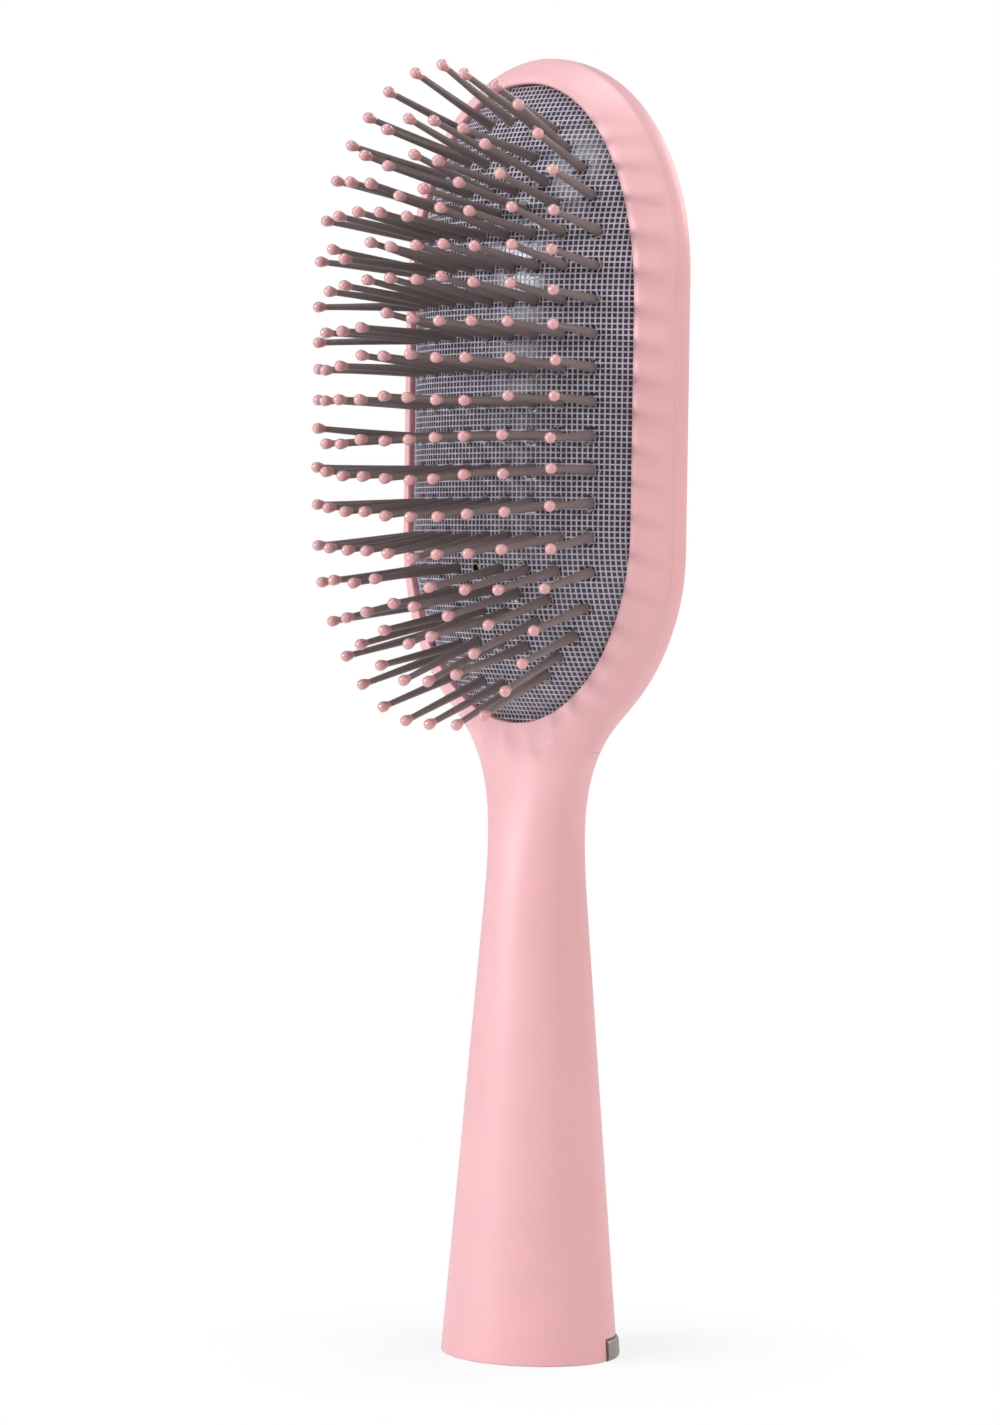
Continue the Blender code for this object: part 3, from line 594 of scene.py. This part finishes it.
def build_frame(finish):
    """Head ring, neck and hollow handle, with the opening's lip rounded."""
    foot = [body_rings([z], inset)[0] for z, inset in FOOT_ROUND]
    points, faces = loft(foot + list(body_rings(body_levels(FOOT_ROUND_HEIGHT, HEAD_TOP_Z))))
    shell = new_object("brush_frame", points, faces, smooth=False)
    low = (-HEAD_CUT_HALF_WIDTH, WIDEST_Y + SEAM_GAP / 2, COVER_END_Z)
    boolean(shell, box_tool(low, HEAD_CUT_CORNER), "DIFFERENCE")
    rounds = [(LIP_ROUND * (1 - math.cos(a)), -LIP_FORWARD + LIP_ROUND * (1 - math.sin(a)))
              for a in np.linspace(0, math.pi / 2, 6)]
    profile = [(0.0, POCKET_FRONT + JUST_PAST), *rounds, (rounds[-1][0] + LIP_CUT_FLARE, -LIP_FORWARD - PAST)]
    boolean(shell, outline_tool(profile), "DIFFERENCE")
    pocket = outline_tool([(POCKET_WIDTH, POCKET_FRONT), (POCKET_WIDTH, HEAD_CUT_BACK_Y)])
    boolean(shell, pocket, "DIFFERENCE")
    boolean(shell, oval_object("tool", [(-PAST, -HANDLE_WALL), (HOLLOW_TOP_Z, -HANDLE_WALL)]), "DIFFERENCE")
    notch = box_tool((-NOTCH_CUT_REACH, PULL_LIP_FRONT - GAP, -PAST),
                     (NOTCH_CUT_REACH, NOTCH_CUT_REACH, PULL_LIP_HEIGHT + GAP))
    boolean(shell, notch, "DIFFERENCE")
    finish_shell(shell, finish)
    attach(shell, "body")
    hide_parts("handle_frame")


def build_cover(finish):
    """Back shell of the head, hollow behind the cushion."""
    points, faces = loft(list(body_rings(body_levels(COVER_END_Z - PAST, HEAD_TOP_Z))))
    shell = new_object("brush_cover", points, faces, smooth=False)
    low = (-HEAD_CUT_HALF_WIDTH, WIDEST_Y + SEAM_GAP * 1.5, COVER_END_Z + SEAM_GAP)
    boolean(shell, box_tool(low, HEAD_CUT_CORNER), "INTERSECT")
    rings = body_rings(body_levels(outline_end(False, POCKET_WIDTH), HEAD_TOP_Z - COVER_WALL), COVER_WALL)
    rings[:, :STATIONS, 1] = WIDEST_Y - PAST
    rings[:, STATIONS:, 1] = np.maximum(rings[:, STATIONS:, 1], WIDEST_Y + HOLLOW_LEAST_DEPTH)
    points, faces = loft(list(rings))
    boolean(shell, new_object("tool", points, faces, smooth=False), "DIFFERENCE")
    finish_shell(shell, finish)
    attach(shell, "body")
    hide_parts("back_cover")


def build_plug(finish):
    """Foot plug with the rounded pull lip that shows in the rim's notch."""
    inner = -HANDLE_WALL - GAP
    plug = oval_object("foot_plug", [(0.0, inner), (PLUG_HEIGHT, inner)])
    turns = [math.pi / 2 * i / 6 for i in range(7)]
    r, proud = PULL_LIP_ROUND, PULL_LIP_PROUD
    levels = [(r * (1 - math.cos(a)), proud - r + r * math.sin(a)) for a in turns]
    levels += [(PULL_LIP_HEIGHT - r + r * math.sin(a), proud - r + r * math.cos(a)) for a in turns]
    lip = oval_object("tool_lip", levels)
    keep = box_tool((-NOTCH_CUT_REACH, PULL_LIP_FRONT, -JUST_PAST),
                    (NOTCH_CUT_REACH, NOTCH_CUT_REACH, PULL_LIP_HEIGHT + JUST_PAST))
    boolean(lip, keep, "INTERSECT")
    boolean(plug, lip, "UNION")
    seat = box_tool((-STEM_WIDTH / 2 - GAP, -STEM_DEPTH / 2 - GAP, PLUG_HEIGHT - STEM_SEAT),
                    (STEM_WIDTH / 2 + GAP, STEM_DEPTH / 2 + GAP, PLUG_HEIGHT + PAST))
    boolean(plug, seat, "DIFFERENCE")
    finish_shell(plug, finish, angle=24)
    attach(plug, "cleaner")
    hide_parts("base_plug")


def build_rake(finish):
    """Cleaning rake: a flat stem, a cross bar with softened edges and round-ended tines."""
    stem = box_tool((-STEM_WIDTH / 2, -STEM_DEPTH / 2, PLUG_HEIGHT - STEM_SEAT + GAP),
                    (STEM_WIDTH / 2, STEM_DEPTH / 2, RAKE_Z + RAKE_HEIGHT / 2))
    bar = box_tool((-RAKE_WIDTH / 2, -STEM_DEPTH / 2 - GAP, RAKE_Z),
                   (RAKE_WIDTH / 2, STEM_DEPTH / 2 + GAP, RAKE_Z + RAKE_HEIGHT))
    for block in (stem, bar):
        soft = block.modifiers.new("Soft edges", "BEVEL")
        soft.width = RAKE_EDGE_ROUND
        soft.segments = 4
        apply_modifiers(block)
    stem.name = "rake_stem"
    boolean(stem, bar, "UNION")
    finish_shell(stem, finish)
    parts = []
    for i in range(TINE_COUNT):
        foot = Vector(((i - (TINE_COUNT - 1) / 2) * TINE_PITCH, 0.0, RAKE_Z + RAKE_HEIGHT - TINE_SUNK))
        reach = TINE_LENGTH + TINE_SUNK - TINE_TIP_RADIUS
        profile = [(0.0, TINE_RADIUS), (reach * 0.5, (TINE_RADIUS + TINE_TIP_RADIUS) / 2)]
        for a in np.linspace(0, math.radians(86), 7):
            profile.append((reach + TINE_TIP_RADIUS * math.sin(a), TINE_TIP_RADIUS * math.cos(a)))
        parts.append(loft(turned(profile, foot, Vector((0, 0, 1)), sides=20)))
    tines = joined("rake_tines", parts, finish)
    for piece in (stem, tines):
        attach(piece, "cleaner")
        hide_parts("cleaning_rake")


def reach_at(x, z):
    """How far out a point of the cushion lies, from 0 on the spine to 1 at the opening's edge."""
    upward = z > HEAD_CENTRE_Z
    straight, cap, power = outline_shape(upward, np.zeros_like(z))
    cap = cap - np.where(upward, 0.0, CROWN_BOTTOM_FLAT)
    along = np.maximum(0.0, np.abs(z - HEAD_CENTRE_Z) - straight) / cap
    across = np.abs(x) / OPENING_HALF_WIDTH
    return (across**power + along**power) ** (1 / power)


def crown(x, z):
    """Y of the cushion's outer face."""
    reach = np.minimum(1.0, reach_at(np.asarray(x, float), np.asarray(z, float)))
    return -CUSHION_EDGE_FORWARD - CROWN_HEIGHT * (1 - reach**CROWN_POWER)


def row_roots(number):
    """The (x, z) of each place in a row, the vent's too."""
    count, wide, middle, ends = ROWS[number]
    across = [wide * (2 * i / (count - 1) - 1) for i in range(count)]
    return [(x, HEAD_CENTRE_Z + middle + (ends - middle) * (x / wide) ** 2) for x in across]


def row_pins(number):
    """The index, x and z of each pin of a row; the vent takes the place of one."""
    return [(i, x, z) for i, (x, z) in enumerate(row_roots(number)) if (number, i) != (VENT_ROW, VENT_PIN)]


def vent_distance(x, z):
    """How far each point lies from the middle of the vent, and where that middle is."""
    vent = row_roots(VENT_ROW)[VENT_PIN]
    return np.hypot(x - vent[0], z - vent[1]), vent


def dip(x, z):
    """How far the sheet is drawn in close round the nearest pin."""
    near = np.full(x.shape, 1.0)
    for number in range(len(ROWS)):
        for _, pin_x, pin_z in row_pins(number):
            near = np.minimum(near, np.hypot(x - pin_x, z - pin_z))
    t = np.clip((DIP_RADIUS - near) / (DIP_RADIUS - DIP_FLOOR), 0, 1)
    return DIP_DEPTH * t * t * (3 - 2 * t)


def fit_to_opening(x, z, limit):
    """Grid points drawn back to just inside the opening's edge, and which of them lay inside it."""
    edge = offset_at(x, z)
    step = 1e-5
    gx = (offset_at(x + step, z) - edge) / step
    gz = (offset_at(x, z + step) - edge) / step
    size = np.maximum(np.hypot(gx, gz), 1e-6)
    move = np.maximum(0.0, edge - limit)
    return x - move * gx / size**2, z - move * gz / size**2, edge < limit


def grid_object(name, grid, inside, wanted, finish):
    """An open surface through a grid of points, without the cells that lie outside."""
    index = np.full(inside.shape, -1)
    points, faces = [], []
    for i in range(inside.shape[0] - 1):
        for j in range(inside.shape[1] - 1):
            if not wanted(i, j):
                continue
            if not (inside[i, j] or inside[i + 1, j] or inside[i, j + 1] or inside[i + 1, j + 1]):
                continue
            face = []
            for a, b in ((i, j), (i + 1, j), (i + 1, j + 1), (i, j + 1)):
                if index[a, b] < 0:
                    index[a, b] = len(points)
                    points.append((grid[0][a, b], grid[1][a, b], grid[2][a, b]))
                face.append(index[a, b])
            faces.append(face)
    return new_object(name, points, faces, finish, turn_faces=False)


def thicken(obj, thickness):
    """Gives an open surface a thickness behind it."""
    back = obj.modifiers.new("Thickness", "SOLIDIFY")
    back.thickness = thickness
    back.offset = -1.0
    apply_modifiers(obj)


def build_membrane(finish):
    """The rubber cushion in one crowned sheet, drawn in round each pin and pierced by the vent."""
    ends = ((-OPENING_HALF_WIDTH, OPENING_HALF_WIDTH), (outline_end(False, 0), outline_end(True, 0)))
    lines = [np.arange(low - SHEET_PITCH, high + 2 * SHEET_PITCH, SHEET_PITCH) for low, high in ends]
    x, z = np.meshgrid(*lines, indexing="ij")
    x, z, inside = fit_to_opening(x, z, -SHEET_EDGE_GAP)
    far, vent = vent_distance(x, z)
    drawn = (far > VENT_DRAWN[0] * VENT_RADIUS) & (far < VENT_DRAWN[1] * VENT_RADIUS)
    rounded = np.where(drawn, VENT_RADIUS / far, 1.0)
    x = vent[0] + (x - vent[0]) * rounded
    z = vent[1] + (z - vent[1]) * rounded
    far = far * rounded
    y = crown(x, z) + dip(x, z)
    open_cell = VENT_RADIUS * 0.999

    def wanted(i, j):
        return far[i:i + 2, j:j + 2].min() > open_cell

    sheet = grid_object("cushion_sheet", (x, y, z), inside, wanted, finish)
    thicken(sheet, MEMBRANE)
    sheet.data.shade_smooth()
    sheet.data.set_sharp_from_angle(angle=math.radians(60))
    return sheet


def build_flange(finish):
    """The cushion's fixed edge, trapped in the pocket behind the lip."""
    front = POCKET_FRONT + GAP
    back = front + FLANGE_THICKNESS
    sheet_back = -CUSHION_EDGE_FORWARD + MEMBRANE
    inner = -FLANGE_INNER_WIDTH
    profile = [(POCKET_WIDTH - GAP, front), (-GAP, front), (-GAP, sheet_back), (inner, sheet_back),
               (inner, back), (POCKET_WIDTH - GAP, back)]
    rings = [[(x, y, z) for x, z in outline_points(offset)] for offset, y in profile]
    points, faces = loft(rings, closed=True)
    flange = new_object("cushion_flange", points, faces, finish)
    flange.data.set_sharp_from_angle(angle=math.radians(40))
    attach(flange, "body")
    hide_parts("cushion_rim")


def net_lines(along, out, sides, seed):
    """Edges of the lattice threads, slightly uneven, spaced evenly over the crowned face."""
    length = np.concatenate([[0.0], np.cumsum(np.hypot(np.diff(along), np.diff(out)))])
    count = int(length[-1] / NET_PITCH) + 2
    rng = np.random.default_rng(seed)
    wander = np.cumsum(rng.normal(0, NET_WANDER, count))
    wander -= np.linspace(wander[0], wander[-1], count)
    middles = length[-1] / 2 + (np.arange(count) - (count - 1) / 2 + wander) * NET_PITCH
    edges = np.array([m + side * THREAD_HALF for m in middles for side in sides])
    inside = np.interp(edges, length, along)
    return inside + np.minimum(edges, 0) + np.maximum(edges - length[-1], 0)


def build_net(finish):
    """Woven net: round-backed threads that pass over and under each other on the cushion."""
    sides = [side for side, _ in THREAD_SECTION]
    across = np.linspace(-OPENING_HALF_WIDTH, OPENING_HALF_WIDTH, CROWN_SAMPLES[0])
    along = np.linspace(outline_end(False, 0), outline_end(True, 0), CROWN_SAMPLES[1])
    warp = net_lines(across, crown(across, np.full_like(across, HEAD_CENTRE_Z)), sides, seed=3)
    weft = net_lines(along, crown(np.zeros_like(along), along), sides, seed=4)
    x, z = np.meshgrid(warp, weft, indexing="ij")
    x = x + NET_BEND * np.sin(z / NET_SWINGS[0][0] + NET_SWING_STARTS[0]) * np.sin(x / NET_SWINGS[0][1])
    z = z + NET_BEND * np.sin(x / NET_SWINGS[1][0] + NET_SWING_STARTS[1]) * np.sin(z / NET_SWINGS[1][1])
    x, z, inside = fit_to_opening(x, z, -NET_EDGE_GAP)

    lift = np.array([height for _, height in THREAD_SECTION])
    n = len(THREAD_SECTION)
    warp_line, weft_line = np.indices(x.shape)
    warp_over = (warp_line // n + weft_line // n) % 2
    warp_height = lift[warp_line % n] * np.where(warp_over, 1.0, UNDER_SHARE)
    weft_height = lift[weft_line % n] * np.where(warp_over, UNDER_SHARE, 1.0)
    height = np.maximum(warp_height, weft_height) * NET_LIFT
    y = crown(x, z) + dip(x, z) - height - NET_CLEARANCE
    far, _ = vent_distance(x, z)

    def wanted(i, j):
        clear_of_vent = far[i:i + 2, j:j + 2].min() > VENT_RADIUS + VENT_NET_GAP
        return clear_of_vent and (i % n != n - 1 or j % n != n - 1)

    net = grid_object("cushion_net", (x, y, z), inside, wanted, finish)
    thicken(net, NET_THICKNESS)
    return net


def pin_way(x, z, lean):
    """Unit vector along a pin: the even fan, turned by the pin's own lean."""
    u = x / PIN_FIELD_HALF_WIDTH
    rise = (z - HEAD_CENTRE_Z) / FAN_ALONG_REACH
    sideways = (FAN_ACROSS * u + FAN_ACROSS_CUBIC * u**3) * (1 + FAN_GROWS_UPWARD * rise)
    upward = (FAN_ALONG * rise + FAN_ALONG_CUBIC * rise**3) * (1 - FAN_ALONG_SIDE_DROP * u**2)
    sideways += math.radians(lean[0] * LEAN_STEP)
    upward += math.radians(lean[1] * LEAN_STEP)
    return Vector((math.tan(sideways), -1.0, math.tan(upward))).normalized()


def turned(profile, at, way, sides):
    """Rings of a turned shape along a direction, from (along, radius) pairs."""
    side = way.orthogonal().normalized()
    up = side.cross(way)
    rings = []
    for along, radius in profile:
        centre = at + way * along
        rings.append([centre + (side * math.cos(a) + up * math.sin(a)) * radius
                      for a in np.linspace(0, 2 * math.pi, sides + 1)[:-1]])
    return rings


def joined(name, parts, finish):
    """One object from several (points, faces) sets."""
    points, faces = [], []
    for some_points, some_faces in parts:
        start = len(points)
        points += some_points
        faces += [tuple(start + i for i in face) for face in some_faces]
    return new_object(name, points, faces, finish)


def pin_profile():
    """A moulded pin: a root sunk in the cushion and a taper that eases towards the ball."""
    shaft = PIN_LENGTH - BALL_LENGTH + BALL_OVERLAP
    steps = [(-PIN_SUNK, PIN_ROOT_RADIUS)]
    for t in np.linspace(0.0, 1.0, 10):
        wider = (PIN_ROOT_RADIUS - PIN_TOP_RADIUS) * (1 - t) ** PIN_TAPER_POWER
        steps.append((shaft * t, PIN_TOP_RADIUS + wider))
    return steps


def ball_profile():
    """A drop of lacquer that swells smoothly from the pin into a round end."""
    start = PIN_LENGTH - BALL_LENGTH
    collar = start + BALL_COLLAR
    widest = PIN_LENGTH - BALL_RADIUS
    thin = PIN_TOP_RADIUS * BALL_COLLAR_SHARE
    steps = [(start, PIN_TOP_RADIUS * BALL_START_SHARE)]
    for t in np.linspace(0.0, 1.0, 10)[:-1]:
        swell = math.sin(math.pi / 2 * t) ** BALL_SWELL_POWER
        steps.append((collar + (widest - collar) * t, thin + (BALL_RADIUS - thin) * swell))
    for a in np.linspace(math.radians(90), math.radians(176), 10):
        steps.append((widest - BALL_RADIUS * math.cos(a), BALL_RADIUS * math.sin(a)))
    return steps


def pin_root(x, z):
    """Where a pin meets the crown."""
    return Vector((x, float(crown(x, z)), z))


def build_pins(shaft_finish, ball_finish):
    """Each row of pins as one piece of shafts and one of ball ends, which ride on the cushion."""
    shaft, ball = pin_profile(), ball_profile()
    for number in range(len(ROWS)):
        shafts, balls = [], []
        for i, x, z in row_pins(number):
            way = pin_way(x, z, LEANS[number][2 * i:2 * i + 2])
            shafts.append(loft(turned(shaft, pin_root(x, z), way, PIN_SIDES)))
            balls.append(loft(turned(ball, pin_root(x, z), way, PIN_SIDES)))
        node = f"pin_row_{number + 1:02d}"
        for name, parts, finish, slot in (
            (f"pins_{number + 1:02d}", shafts, shaft_finish, "pin_plastic"),
            (f"ball_ends_{number + 1:02d}", balls, ball_finish, "pink_plastic"),
        ):
            piece = joined(name, parts, finish)
            piece.data.set_sharp_from_angle(angle=math.radians(50))
            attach(piece, "cushion")
            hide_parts(node)


def flex_with_cushion(piece):
    """A piece of the cushion's own sheet, held by the body, with a mesh of its own."""
    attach(piece, "body")
    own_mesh(piece)


def glue_strand(root, side, up):
    """A short bent strand of glue that lies on the net beside a pin's root."""
    start = RANDOM.uniform(0, 2 * math.pi)
    turn = RANDOM.uniform(*GLUE_TURN)
    radius = RANDOM.uniform(*GLUE_RADIUS)
    far = PIN_ROOT_RADIUS + RANDOM.uniform(*GLUE_REACH)
    rings = []
    for k in range(6):
        angle = start + turn * k / 5
        out = far + GLUE_WAVE * math.sin(k * 1.4 + start)
        centre = root + (side * math.cos(angle) + up * math.sin(angle)) * out
        centre.y = float(crown(centre.x, centre.z)) - NET_LIFT - GLUE_RISE * math.sin(k + start)
        along = (side * -math.sin(angle) + up * math.cos(angle)).normalized()
        rings.append(turned([(0.0, radius)], centre, along, sides=5)[0])
    return loft(rings)


def build_glue(finish):
    """Dried glue round the pin roots: a few short strands at each pin."""
    parts = []
    for number in range(len(ROWS)):
        for _, x, z in row_pins(number):
            way = pin_way(x, z, (0, 0))
            side = way.cross(Vector((0, 0, 1))).normalized()
            up = side.cross(way)
            for _ in range(int(RANDOM.integers(*GLUE_STRANDS))):
                parts.append(glue_strand(pin_root(x, z), side, up))
    return joined("glue_strands", parts, finish)


def build_vent(finish):
    """The pale eyelet of the air vent."""
    x, z = row_roots(VENT_ROW)[VENT_PIN]
    ring = [(height, VENT_RADIUS + out) for height, out in VENT_RING]
    points, faces = loft(turned(ring, pin_root(x, z), pin_way(x, z, (0, 0)), sides=32), closed=True)
    return new_object("vent_eyelet", points, faces, finish)


def math_node(made, operation, first, second):
    """Two values put together by one operation."""
    node = made.add("ShaderNodeMath")
    node.operation = operation
    made.link(first, node.inputs[0])
    made.link(second, node.inputs[1])
    return node.outputs[0]


def seen_directly(made):
    """1 for rays straight from the camera, the gloss share for rays off a gloss, else 0."""
    path = made.add("ShaderNodeLightPath")
    share = made.add("ShaderNodeMapRange", To_Max=GLOSS_SHARE)
    made.link(path.outputs["Is Glossy Ray"], share.inputs["Value"])
    return math_node(made, "MAXIMUM", path.outputs["Is Camera Ray"], share.outputs["Result"])


def build_floor():
    """White floor: lit near the foot, where it keeps the shadow, and plain white beyond."""
    made = Nodes(bpy.data.materials.new("floor_white"))
    made.set(Base_Color=FLOOR_COLOUR, Roughness=FLOOR_ROUGHNESS, Specular_IOR_Level=0.0)
    place = made.add("ShaderNodeTexCoord")
    length = made.add("ShaderNodeVectorMath")
    length.operation = "LENGTH"
    made.link(place.outputs["Object"], length.inputs[0])
    away = made.add("ShaderNodeMapRange", From_Min=SHADOW_FADE[0], From_Max=SHADOW_FADE[1],
                    To_Min=SHADOW_WHITE_SHARE)
    away.interpolation_type = "SMOOTHSTEP"
    made.link(length.outputs["Value"], away.inputs["Value"])
    white = made.add("ShaderNodeEmission", Strength=1.0)
    mix = made.add("ShaderNodeMixShader")
    made.link(math_node(made, "MULTIPLY", seen_directly(made), away.outputs["Result"]), mix.inputs["Fac"])
    made.link(made.shader.outputs[0], mix.inputs[1])
    made.link(white.outputs[0], mix.inputs[2])
    made.link(mix.outputs[0], made.tree.nodes["Material Output"].inputs["Surface"])
    corners = [(x * FLOOR_SIZE, y * FLOOR_SIZE, 0) for x, y in ((-1, -1), (1, -1), (1, 1), (-1, 1))]
    floor = new_object("floor", corners, [(0, 1, 2, 3)], made, smooth=False)
    floor.location.z = -FLOOR_DROP


def build_world():
    """Even soft light, seen as plain white."""
    world = bpy.data.worlds.new("studio")
    bpy.context.scene.world = world
    made = Nodes(world)
    made.tree.nodes.clear()
    lit = made.add("ShaderNodeBackground", Color=(1, 1, 1, 1), Strength=WORLD_STRENGTH)
    seen = made.add("ShaderNodeBackground", Color=(1, 1, 1, 1), Strength=1.0)
    mix = made.add("ShaderNodeMixShader")
    out = made.add("ShaderNodeOutputWorld")
    made.link(seen_directly(made), mix.inputs["Fac"])
    made.link(lit.outputs[0], mix.inputs[1])
    made.link(seen.outputs[0], mix.inputs[2])
    made.link(mix.outputs[0], out.inputs["Surface"])


def build_lamp(name, turn, rise, distance, width, height, watts, colour):
    """A soft lamp, placed by its direction from the object and turned towards it."""
    data = bpy.data.lights.new(name, "AREA")
    data.energy = watts
    data.color = colour
    data.shape = "RECTANGLE"
    data.size = width
    data.size_y = height
    lamp = bpy.data.objects.new(name, data)
    ROOT.objects.link(lamp)
    turn, rise = math.radians(turn), math.radians(rise)
    way = Vector((math.sin(turn) * math.cos(rise), -math.cos(turn) * math.cos(rise), math.sin(rise)))
    aim = Vector(LAMPS_AIM)
    at = aim + way * distance
    lamp.location = at
    lamp.rotation_euler = (aim - at).to_track_quat("-Z", "Y").to_euler()


def build_stage():
    """Floor, world and lamps."""
    build_floor()
    build_world()
    for lamp in LAMPS:
        build_lamp(*lamp)


def build_camera():
    """The camera, where the photo's perspective puts it."""
    data = bpy.data.cameras.new("camera")
    data.lens = CAMERA_LENS
    data.sensor_width = 36.0
    data.sensor_fit = "AUTO"
    data.clip_start = 0.01
    camera = bpy.data.objects.new("camera", data)
    ROOT.objects.link(camera)
    right, up = Vector(CAMERA_RIGHT).normalized(), Vector(CAMERA_UP).normalized()
    back = right.cross(up).normalized()
    up = back.cross(right).normalized()
    turn = Matrix((right, up, back)).transposed().to_4x4()
    camera.matrix_world = Matrix.Translation(CAMERA_AT) @ turn
    bpy.context.scene.camera = camera


def main():
    """The finishes, then every piece, then the stage."""
    build_camera()
    bpy.context.scene.view_settings.view_transform = "Standard"
    pink = plastic("pink_moulded", linear(240, 179, 181), 0.40, 0.22, milky=0.2)
    cover_pink = plastic("pink_cover", linear(239, 178, 180), 0.40, 0.22, milky=0.2)
    # The rubber is dark of its own, and darkened further as painted shade for the net's holes
    rubber = plastic("rubber_cushion_painted_shade", linear(61, 50, 60), 0.22, 0.10, spread=0.08)
    thread = plastic("net_thread", linear(203, 189, 201), 0.34, 0.25, spread=0.10)
    pin_grey = plastic("pin_grey", linear(129, 112, 110), 0.30, 0.06, spread=0.05)
    ball_pink = plastic("ball_pink", linear(219, 156, 155), 0.30, 0.03, spread=0.05, coat=1.0)
    glue = plastic("dry_glue", linear(200, 190, 160), 0.4, 0.2, spread=0.15)
    ring_grey = plastic("ring_grey", linear(140, 135, 135), 0.5, 0.1)
    plug_grey = plastic("plug_grey", linear(150, 139, 136), 0.45, 0.12)

    build_frame(pink)
    build_cover(cover_pink)
    build_pins(pin_grey, ball_pink)
    rows = [f"pin_row_{n + 1:02d}" for n in range(len(ROWS))]
    sheet = build_membrane(rubber)
    flex_with_cushion(sheet)
    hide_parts(*rows)
    build_flange(rubber)
    net = build_net(thread)
    flex_with_cushion(net)
    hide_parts(*rows)
    glue_strands = build_glue(glue)
    flex_with_cushion(glue_strands)
    vent = build_vent(glue)
    flex_with_cushion(vent)
    build_plug(plug_grey)
    build_rake(plug_grey)
    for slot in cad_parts["retaining_ring"].material_slots:
        slot.material = ring_grey.material
    build_stage()


main()
